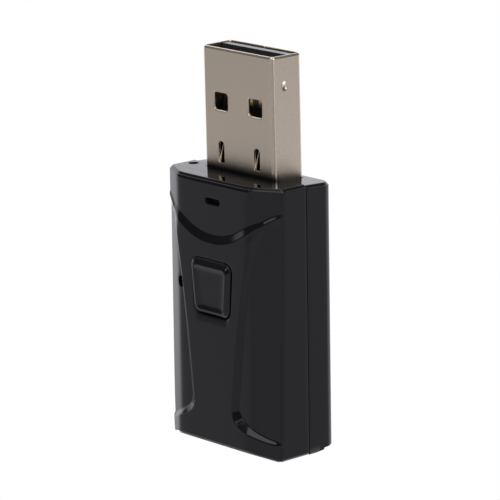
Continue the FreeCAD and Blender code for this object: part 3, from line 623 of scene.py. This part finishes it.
def build_front():
    zs = (spaced(2.2, 6.6, 0.08) + spaced(6.6, 15.5, 0.25) + spaced(15.5, 16.4, 0.07) + spaced(16.4, 21.9, 0.22)
          + spaced(21.9, 22.9, 0.07) + spaced(22.9, 29.0, 0.08) + spaced(29.0, 29.9, 0.12) + spaced(29.9, H - 0.66, 0.2))
    # foot: the lower edge follows the raised toe
    probe = front_section(0.6)
    foot_r = 0.30
    low = toe_plane(probe[:, 1])
    low = np.convolve(np.pad(low, 6, mode="edge"), np.ones(13) / 13, mode="valid")
    rings = []
    low_cols = order_cols(low)  # same permutation is its own inverse
    for t in np.linspace(0, 1, 19)[:-1]:
        zc = mix(low_cols + foot_r, 2.2, t)
        rings.append(front_section(z_cols=zc))
    base = rings[0]
    fillet = []
    for a in np.radians([15, 30, 45, 60, 75, 90]):
        r = inset(base, foot_r * (1 - math.cos(a)), 0)
        r[:, 2] = low + foot_r * (1 - math.sin(a))
        fillet.append(r)
    fillet[-1][:, 2] = toe_plane(fillet[-1][:, 1])
    rings = fillet[::-1] + rings
    for z in zs:
        rings.append(front_section(z))
    top = front_section(H - 0.62)
    flat = (1 - step01((np.abs(top[:, 0]) - 5.85) / 0.35)) * (top[:, 1] < -1)
    for (off, dz), (off_flat, dz_flat) in zip(TOP_PATH, TOP_FLAT):
        rings.append(inset(top, mix(off, off_flat, flat), H + mix(dz, dz_flat, flat)))
    n = NC
    v = np.vstack(rings)
    f = []
    for k in range(len(rings) - 1):
        a, b = k * n, (k + 1) * n
        f += [(a + i, a + i + 1, b + i + 1, b + i) for i in range(n - 1)]
        f.append((a + n - 1, a, b, b + n - 1))       # seam plane
    last = (len(rings) - 1) * n
    f.append(tuple(range(last, last + n)))
    ring0 = rings[0]
    right = next(i for i in range(n) if ring0[i, 1] < -3.0)
    left = n - 1 - next(i for i in range(n) if ring0[n - 1 - i, 1] < -3.0)
    f.append(tuple(range(left, right - 1, -1)))
    f.append(tuple(range(right, -1, -1)) + tuple(range(n - 1, left - 1, -1)))
    return mesh_object("front_shell_skin", v, f)


front = build_front()
room = bpy.data.objects.new("room", bpy.data.meshes.new("room"))


def loft_block(name, sections):
    v, f = [], []
    n = len(sections[0][1])
    for z, pts in sections:
        v += [(x, y, z) for x, y in pts]
    for k in range(len(sections) - 1):
        a, b = k * n, (k + 1) * n
        f += [(a + i, a + (i + 1) % n, b + (i + 1) % n, b + i) for i in range(n)]
    f.append(tuple(range(n - 1, -1, -1)))
    f.append(tuple(range((len(sections) - 1) * n, len(sections) * n)))
    return mesh_object(name, v, f, False)


bpy.data.objects.remove(room)
room = loft_block("room", [(1.2, [(8.21, 2.35), (8.21, -1.65), (5.42, -3.2), (-5.42, -3.2), (-8.21, -1.65), (-8.21, 2.35)]),
                           (30.55, [(8.55, 2.35), (8.55, -0.78), (5.6, -2.88), (-5.6, -2.88), (-8.55, -0.78), (-8.55, 2.35)])])
plug_gap = box_mesh("plug_gap", -5.97, 5.97, 0.03, 3.0, 29.5, 33.0)
button_gap = prism("button_gap", [(x + 0.08, z) for x, z in rounded_outline(3.62, 3.14, 15.83, 22.52, 1.2, 12)], -6.5, -1.5)
pill = [(0.88 + 0.37 * math.cos(a), 29.2 + 0.37 * math.sin(a)) for a in np.linspace(-math.pi / 2, math.pi / 2, 17)]
pill += [(-0.88 + 0.37 * math.cos(a), 29.2 + 0.37 * math.sin(a)) for a in np.linspace(math.pi / 2, 1.5 * math.pi, 17)]
lamp_gap = prism("lamp_gap", pill, -6.5, -1.5)
port = [(-5.98 + 0.66 * math.cos(a), 18.85 + 0.66 * math.sin(a)) for a in np.linspace(0, 2 * math.pi, 41)[:-1]]
port_gap = prism("port_gap", port, -6.5, -1.5)
dimple = stack("dimple", [[(-8.1 + 0.62 * math.cos(a), 0.1 + 0.62 * math.sin(a), z) for a in np.linspace(0, 2 * math.pi, 33)[:-1]] for z in (31.6, 33.0)])
carve(front, [room, plug_gap, button_gap, lamp_gap, port_gap, dimple])
sharp(front, 38)
finish(front, mat_case, "case_black", "case", "front_shell")

# ---------------------------------------------------------------------------
# back shell
def back_section(z, off=0.0):
    hw = half_wide(z)
    r = BACK_ROUND
    s = SEAM_ROUND
    pts = []
    for t in (0.0, 0.33, 0.66):
        a = t * math.pi / 2
        pts.append((hw - s * (1 - math.sin(a)), SEAM + GAP + s * (1 - math.cos(a))))
    for y in np.linspace(SEAM + GAP + s, BACK - r, 8)[:-1]:
        pts.append((hw, y))
    for a in np.linspace(0, math.pi / 2, 19):
        pts.append((hw - r + r * math.cos(a), BACK - r + r * math.sin(a)))
    right = np.array(pts)
    left = right[::-1] * [-1, 1]
    ring = np.vstack([right, left])
    return np.c_[ring, np.full(len(ring), z)]


def build_back():
    rings = []
    foot_r = 0.12
    base = back_section(foot_r)

    def ins(ring, amount, z):
        d = np.gradient(ring[:, :2], axis=0)
        nrm = np.c_[d[:, 1], -d[:, 0]]
        nrm /= np.maximum(np.linalg.norm(nrm, axis=1), 1e-9)[:, None]
        flip = np.sign((nrm * (np.array([0.0, 2.0]) - ring[:, :2])).sum(axis=1))
        nrm *= flip[:, None]
        r = ring.copy()
        r[:, :2] += nrm * amount
        s = np.sign(ring[:, 0])
        for i in (0, 1, 2, -1, -2, -3):
            r[i, 0] = ring[i, 0] - s[i] * amount
            r[i, 1] = ring[i, 1]
        r[:, 2] = z
        return r
    for a in np.radians([90, 67, 45, 22]):
        rings.append(ins(base, foot_r * (1 - math.cos(a)), foot_r * (1 - math.sin(a))))
    for z in spaced(foot_r, BACK_H - 1.2, 1.0):
        rings.append(back_section(z))
    top = back_section(BACK_H - 0.62)
    for off, dz in TOP_PATH:
        r = ins(top, off, BACK_H + dz)
        r[:, 2] -= BACK_FALL * (r[:, 1] - SEAM)
        rings.append(r)
    return stack("back_shell_skin", rings)


back = build_back()
room = loft_block("room_back", [(1.2, [(8.21, 0.5), (8.21, 4.65), (-8.21, 4.65), (-8.21, 0.5)]),
                                (30.55, [(8.55, 0.5), (8.55, 4.65), (-8.55, 4.65), (-8.55, 0.5)])])
plug_gap = box_mesh("plug_gap_back", -5.97, 5.97, -0.05, 4.47, 26.3, 33.0)
rebate = mesh_object("rebate", [(x, y, z) for x in (-12, 12) for y, z in ((2.1, -1), (2.1, 0.0), (3.62, 0.17), (3.66, 0.36), (4.5, 0.42), (5.3, 0.62), (7.0, 1.5), (7.0, -1))],
                     [tuple(range(8)), tuple(range(15, 7, -1))] + [(i, i + 8, (i + 1) % 8 + 8, (i + 1) % 8) for i in range(8)], False)
carve(back, [room, plug_gap, rebate])
sharp(back, 38)
finish(back, mat_case, "case_black", "case", "back_shell")
# lip inside the seam
for i, (x0, x1, z0, z1) in enumerate(((-8.2, -8.0, 1.5, 30.2), (8.0, 8.2, 1.5, 30.2), (-8.0, 8.0, 1.25, 1.45), (-8.2, -6.1, 30.2, 30.4), (6.1, 8.2, 30.2, 30.4))):
    lip = box_mesh("seam_lip_%d" % i, x0, x1, 1.0, 1.7, z0, z1)
    finish(lip, mat_case, "case_black", "case")

# ---------------------------------------------------------------------------
# button cap
def build_button():
    top, low, z0, z1, r = 3.40, 2.92, 15.97, 22.38, 1.0
    profile = [(0.0, -2.6), (0.0, -3.6), (0.0, -4.3), (0.0, -4.56), (0.02, -4.605), (0.06, -4.64), (0.20, -4.735), (0.34, -4.832),
               (0.42, -4.883), (0.48, -4.915), (0.54, -4.937), (0.60, -4.948), (0.66, -4.95)]
    for q in (0.05, 0.12, 0.22, 0.35, 0.5, 0.7, 0.93):
        profile.append((0.66 + q, -4.95 + 0.135 * (1 - max(0.0, 1 - q / 0.95) ** 2)))
    rings = []
    for inset_, y in profile:
        rr = max(r - inset_ * 0.62, 0.22)
        o = rounded_outline(top - inset_, low - inset_, z0 + inset_, z1 - inset_, rr, 10, 6)
        drop = 0.13 * float(step01(inset_ / 0.6))
        lift = 0.11 * (1 - float(step01((inset_ - 0.1) / 0.55))) * (y < -4.4)
        rings.append(np.array([(x - 0.06, y - lift * float(step01((-x - 1.9) / 0.9)), z - drop) for x, z in o]))
    centre = np.array([-0.06, rings[-1][0][1], (z0 + z1) / 2])
    last = rings[-1]
    for t in (0.75, 0.5, 0.25):
        rings.append(centre + (last - centre) * t)
    return stack("button_skin", rings)


button = build_button()
finish(button, mat_button, "button_black", "button", "button_cap")
flange = prism("button_flange_skin", rounded_outline(4.04, 3.56, 15.37, 23.08, 1.5, 10), -2.86, -2.40)
finish(flange, mat_button, "button_black", "button", "button_cap")

# ---------------------------------------------------------------------------
# plug tube
def rect_ring(half, y0, y1, r, z, arc=10):
    c = [(half - r, y0 + r, -90), (half - r, y1 - r, 0), (-half + r, y1 - r, 90), (-half + r, y0 + r, 180)]
    out = []
    for cx, cy, a0 in c:
        for k in range(arc + 1):
            a = math.radians(a0 + 90 * k / arc)
            out.append((cx + r * math.cos(a), cy + r * math.sin(a), z))
    return out


TIP = 45.92


def build_tube():
    rings = []
    sheet = 0.3
    for z, off in ((26.4, 0.0), (31.0, 0.0), (38.0, 0.0), (TIP - 0.28, 0.0), (TIP - 0.24, 0.006), (TIP - 0.09, 0.085), (TIP - 0.04, 0.12), (TIP - 0.012, 0.155), (TIP, 0.19), (TIP, 0.22), (TIP - 0.02, 0.262), (TIP - 0.07, 0.294), (TIP - 0.15, 0.3), (38.0, 0.3), (31.0, 0.3), (26.4, 0.3)):
        rings.append(rect_ring(6.0 - off, off, 4.5 - off, max(0.6 - off, 0.3), z))
    n = len(rings[0])
    v = [p for ring in rings for p in ring]
    f = []
    m = len(rings)
    for k in range(m):
        a, b = k * n, ((k + 1) % m) * n
        f += [(a + i, a + (i + 1) % n, b + (i + 1) % n, b + i) for i in range(n)]
    return mesh_object("plug_tube_skin", v, f)


FRAME = 0.14
tube = build_tube()
cutters = []
for ya, yb in ((-1, 0.45), (4.05, 5.5)):
    for sx in (-1, 1):
        o = rounded_outline(1.14 + FRAME, 1.14 + FRAME, 38.7 - FRAME, 40.7 + FRAME, 0.36 + FRAME, 7)
        cutters.append(prism("window", [(x + sx * 2.91, z) for x, z in o], ya, yb))
        o = [(-0.5, 32.55), (0.5, 32.55)] + [(0.5 * math.cos(a), 35.08 - 0.5 + 0.5 * math.sin(a)) for a in np.linspace(0, math.pi, 13)]
        cutters.append(prism("slot", [(x + sx * 3.03, z) for x, z in o], ya, yb))
cutters.append(box_mesh("fold", -0.04, 0.04, 4.1, 5.5, 20, 50))
carve(tube, cutters, solver="EXACT")
bevel(tube, 0.04, 2, 50)
dents = []
for sx in (-1, 1):
    bm = bmesh.new()
    bmesh.ops.create_uvsphere(bm, u_segments=32, v_segments=24, radius=0.62 * MM)
    me = bpy.data.meshes.new("dent")
    bm.to_mesh(me)
    bm.free()
    d = bpy.data.objects.new("dent", me)
    scene.collection.objects.link(d)
    d.location = (sx * 6.456 * MM, 1.75 * MM, 42.42 * MM)
    d.scale = (1, 1, 1.4)
    dents.append(d)
carve(tube, dents, solver="EXACT")
sharp(tube, 60)
weigh(tube)
finish(tube, mat_plug, "plug_nickel", "case", "usb_shell")

for side in (1, -1):
    for sx in (-1, 1):
        rings = []
        edge = [(FRAME, 0.0), (0.094, 0.0), (0.086, 0.004), (0.078, 0.012), (0.010, 0.092), (0.002, 0.104), (0.0, 0.115), (0.0, 0.3), (FRAME, 0.3)]
        for off, deep in edge:
            o = rounded_outline(1.14 + off, 1.14 + off, 38.7 - off, 40.7 + off, 0.36 + off, 7)
            y = deep if side > 0 else 4.5 - deep
            rings.append([(x + sx * 2.91, y, z) for x, z in o])
        n, m = len(rings[0]), len(rings)
        v = [q for ring in rings for q in ring]
        f = [(k * n + i, k * n + (i + 1) % n, (k + 1) % m * n + (i + 1) % n, (k + 1) % m * n + i) for k in range(m) for i in range(n)]
        frame_ring = mesh_object("window_frame_%d_%d" % (side, sx), v, f)
        sharp(frame_ring, 50)
        weigh(frame_ring)
        finish(frame_ring, mat_plug, "plug_nickel", "case")

# spring fingers in the slots
for side in (0, 1):
    for sx in (-1, 1):
        y = 0.0 if side == 0 else 4.2
        lean = 0.6 if side == 0 else -0.6
        x0, x1 = sx * 3.03 - 0.5, sx * 3.03 - 0.28
        path = [(lean * 0.12, 32.4), (lean * 0.25, 32.8), (lean * 0.6, 33.7), (lean, 34.6)]
        v, f = [], []
        for dy, z in path:
            for dx in (x0, x1):
                v += [(dx, y + dy, z), (dx, y + dy + 0.3, z)]
        for k in range(len(path) - 1):
            a, b = 4 * k, 4 * k + 4
            f += [(a, a + 2, b + 2, b), (a + 1, b + 1, b + 3, a + 3), (a, b, b + 1, a + 1), (a + 2, a + 3, b + 3, b + 2)]
        e = 4 * (len(path) - 1)
        f += [(0, 1, 3, 2), (e, e + 2, e + 3, e + 1)]
        g = mesh_object("spring_finger_%d_%d" % (side, (sx + 1) // 2), v, f)
        bevel(g, 0.03, 2, 50)
        sharp(g, 60)
        weigh(g)
        finish(g, mat_plug, "plug_nickel", "case")

# ---------------------------------------------------------------------------
# smoked light guide, and a dark sleeve lining its slot walls as painted shade
def pill_ring(r, half=0.88, n=17):
    o = [(half + r * math.cos(a), 29.2 + r * math.sin(a)) for a in np.linspace(-math.pi / 2, math.pi / 2, n)]
    return o + [(-half + r * math.cos(a), 29.2 + r * math.sin(a)) for a in np.linspace(math.pi / 2, 1.5 * math.pi, n)]


# painted shade: a thin dark rough sleeve covers the slot walls so the slot reads evenly dark
def build_shade_lining():
    outer, inner = pill_ring(0.366), pill_ring(0.33)
    n = len(outer)
    v = [(x, y, z) for y in (-4.09, -2.95) for o in (outer, inner) for x, z in o]
    f = []
    for i in range(n):
        j = (i + 1) % n
        f += [(i, j, n + j, n + i), (2 * n + i, 3 * n + i, 3 * n + j, 2 * n + j), (i, 2 * n + i, 2 * n + j, j), (n + i, n + j, 3 * n + j, 3 * n + i)]
    return mesh_object("guide_shade_lining", v, f, False)


finish(build_shade_lining(), mat_lens, "smoked_plastic", "case", "light_guide")
guide = prism("guide_head_skin", pill_ring(0.325), -3.5, -2.7)
finish(guide, mat_lens, "smoked_plastic", "case", "light_guide")
guide = prism("guide_bar_skin", [(-0.8, 22.95), (0.8, 22.95), (0.8, 29.5), (-0.8, 29.5)], -1.2, -0.3)
finish(guide, mat_lens, "smoked_plastic", "case", "light_guide")
guide = box_mesh("guide_neck_skin", -0.8, 0.8, -2.75, -1.1, 28.9, 29.5)
finish(guide, mat_lens, "smoked_plastic", "case", "light_guide")
guide = box_mesh("guide_foot_skin", -0.8, 0.8, -0.4, 0.73, 22.95, 23.9)
finish(guide, mat_lens, "smoked_plastic", "case", "light_guide")

# ---------------------------------------------------------------------------
# pieces that stay as built, with softened edges and their own finish
KEPT = {
    "usb_insulator": (mat_insulator, 0.05), 
    "contact_ground": (mat_gold, 0.03), "contact_data_plus": (mat_gold, 0.03), "contact_data_minus": (mat_gold, 0.03), "contact_power": (mat_gold, 0.03),
    "circuit_board": (mat_board, 0.0), "bluetooth_chip": (mat_chip, 0.03), "memory_chip": (mat_chip, 0.03), "voltage_regulator": (mat_chip, 0.03),
    "crystal": (mat_can, 0.05), "chip_antenna": (mat_white, 0.03), "status_lamp": (mat_white, 0.03), "microphone": (mat_can, 0.04),
    "capacitors": (mat_tan, 0.02), "resistors": (mat_chip, 0.02), "switch_base": (mat_insulator, 0.03), "switch_cover": (mat_can, 0.0),
    "switch_plunger": (mat_plunger, 0.05), "switch_dome": (mat_can, 0.0),
}
for name, (mat, width) in KEPT.items():
    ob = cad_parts[name]
    ob.data.materials.clear()
    ob.data.materials.append(mat)
    if width:
        bevel(ob, width, 2, 45, apply=False)

# ---------------------------------------------------------------------------
# stage: pale floor, soft studio surroundings
floor = bpy.data.objects.new("floor", bpy.data.meshes.new("floor"))
floor.data.from_pydata([(-3, -3, -0.0001), (3, -3, -0.0001), (3, 3, -0.0001), (-3, 3, -0.0001)], [], [(0, 1, 2, 3)])
scene.collection.objects.link(floor)
m = bpy.data.materials.new("floor_white")
m.use_nodes = True
nt = m.node_tree
nt.nodes.clear()
em = nt.nodes.new("ShaderNodeEmission")
em.inputs["Color"].default_value = (1, 1, 1, 1)
em.inputs["Strength"].default_value = 1.0
ou = nt.nodes.new("ShaderNodeOutputMaterial")
nt.links.new(em.outputs["Emission"], ou.inputs["Surface"])
floor.data.materials.append(m)
floor.visible_diffuse = floor.visible_glossy = floor.visible_transmission = floor.visible_shadow = False

world = bpy.data.worlds.new("studio")
scene.world = world
world.use_nodes = True
nt = world.node_tree
nt.nodes.clear()
geo = nt.nodes.new("ShaderNodeTexCoord")


def node_math(op, a, b=None, clamp=False):
    n = nt.nodes.new("ShaderNodeMath")
    n.operation = op
    n.use_clamp = clamp
    for i, s in enumerate((a, b)):
        if s is None:
            continue
        if isinstance(s, (int, float)):
            n.inputs[i].default_value = s
        else:
            nt.links.new(s, n.inputs[i])
    return n.outputs[0]


def smooth_range(x, lo, hi):
    n = nt.nodes.new("ShaderNodeMapRange")
    n.interpolation_type = "SMOOTHSTEP"
    n.inputs["From Min"].default_value = lo
    n.inputs["From Max"].default_value = hi
    nt.links.new(x, n.inputs["Value"])
    return n.outputs["Result"]


split = nt.nodes.new("ShaderNodeSeparateXYZ")
nt.links.new(geo.outputs["Generated"], split.inputs[0])
dir_x, dir_y, dir_z = split.outputs
DEG = 180 / math.pi
# turn: degrees from the front (-Y) towards +X, -180..180; rise: degrees above the horizon
turn = node_math("MULTIPLY", node_math("ARCTAN2", dir_x, node_math("MULTIPLY", dir_y, -1.0)), DEG)
rise = node_math("MULTIPLY", node_math("ARCSINE", node_math("MINIMUM", node_math("MAXIMUM", dir_z, -1.0), 1.0)), DEG)


def window(x, lo, hi, edge):
    return node_math("MULTIPLY", smooth_range(x, lo - edge / 2, lo + edge / 2), smooth_range(x, hi + edge / 2, hi - edge / 2))


def patch(t0, t1, te, r0, r1, re, power):
    """light of the given power in a window of turn and rise, with soft edges"""
    w = window(rise, r0, r1, re)
    if t0 > -180 or t1 < 180:
        w = node_math("MULTIPLY", w, window(turn, t0, t1, te))
    return node_math("MULTIPLY", power, w)


LIGHTS = [
    # floor all round, brighter on the left, a little brighter towards the back
    (-999, 999, 1, -100, -4.5, 11, 0.41),
    (-165, -85, 50, -17, 1, 10, 0.42),
    (95, 179, 50, -16, -4, 8, 0.05),
    (150, 200, 12, -100, -3, 8, 0.4),
    (-200, -150, 12, -100, -3, 8, 0.4),
    (-10, 22, 8, -100, -4, 6, 0.03),
    (24, 43, 6, -100, -4, 6, 0.07),
    (45, 60, 6, -100, -3, 6, -0.12),
    (62, 84, 6, -26, -6, 6, 0.10),
    (-146, -120, 8, -40, -3, 8, 1.9),
    # brighter floor close by
    (-75, -20, 14, -72, -24, 10, 0.28),
    (95, 172, 16, -72, -24, 10, 1.15),
    (-42, -24, 8, -60, -24, 8, 0.6),
    # studio above: dark in front, white backdrop behind on the left
    (-999, 999, 1, -1, 100, 5, 0.10),
    (-999, 999, 1, 26, 100, 14, 0.09),
    (-999, 999, 1, 64, 100, 6, 0.9),
    (-178, -95, 30, 2, 60, 5, 1.03),
    (-95, -70, 16, 32, 48, 8, 0.9),
    # soft boxes
    (-12, 40, 8, 30, 52, 6, 1.3),
    (-112, -63, 6, -4, 9, 5, 0.6),
    (56, 88, 8, 4, 40, 6, 2.0),
    (-19, -6, 4, 17, 24.5, 4, 1.2),
]
total = None
for entry in LIGHTS:
    v = patch(*entry)
    total = v if total is None else node_math("ADD", total, v)
bg = nt.nodes.new("ShaderNodeBackground")
bg.inputs["Color"].default_value = (0.985, 0.985, 1.045, 1)
nt.links.new(total, bg.inputs["Strength"])
white = nt.nodes.new("ShaderNodeBackground")
white.inputs["Color"].default_value = (1, 1, 1, 1)
white.inputs["Strength"].default_value = 1.0
lp = nt.nodes.new("ShaderNodeLightPath")
mx = nt.nodes.new("ShaderNodeMixShader")
out = nt.nodes.new("ShaderNodeOutputWorld")
nt.links.new(lp.outputs["Is Camera Ray"], mx.inputs["Fac"])
nt.links.new(bg.outputs["Background"], mx.inputs[1])
nt.links.new(white.outputs["Background"], mx.inputs[2])
nt.links.new(mx.outputs["Shader"], out.inputs["Surface"])

# ---------------------------------------------------------------------------
# camera
AZ, EL, ROLL, DIST, FPX, CX, CY = 48.5712, 14.0306, -1.3893, 407.4624, 3556.90, 0.0105, -1.4162
a, e, r = math.radians(AZ), math.radians(EL), math.radians(ROLL)
back_v = Vector((math.sin(a) * math.cos(e), -math.cos(a) * math.cos(e), math.sin(e)))
right_v = Vector((math.cos(a), math.sin(a), 0))
up_v = back_v.cross(right_v)
R = math.cos(r) * right_v + math.sin(r) * up_v
U = -math.sin(r) * right_v + math.cos(r) * up_v
loc = Vector((0, SEAM, 24.0)) + back_v * DIST + R * CX + U * CY
cam_data = bpy.data.cameras.new("camera")
cam_data.sensor_width = 36.0
cam_data.sensor_fit = "HORIZONTAL"
cam_data.lens = FPX / 500 * 36.0
cam_data.clip_start = 0.02
cam_data.clip_end = 20
cam = bpy.data.objects.new("camera", cam_data)
scene.collection.objects.link(cam)
m4 = Matrix.Identity(4)
for i in range(3):
    m4[i][0], m4[i][1], m4[i][2], m4[i][3] = R[i], U[i], back_v[i], loc[i] * MM
cam.matrix_world = m4
scene.camera = cam

scene.view_settings.view_transform = "Standard"
scene.view_settings.look = "None"
scene.view_settings.exposure = 0.0
scene.view_settings.gamma = 1.0
scene.cycles.use_denoising = True
scene.cycles.max_bounces = 8
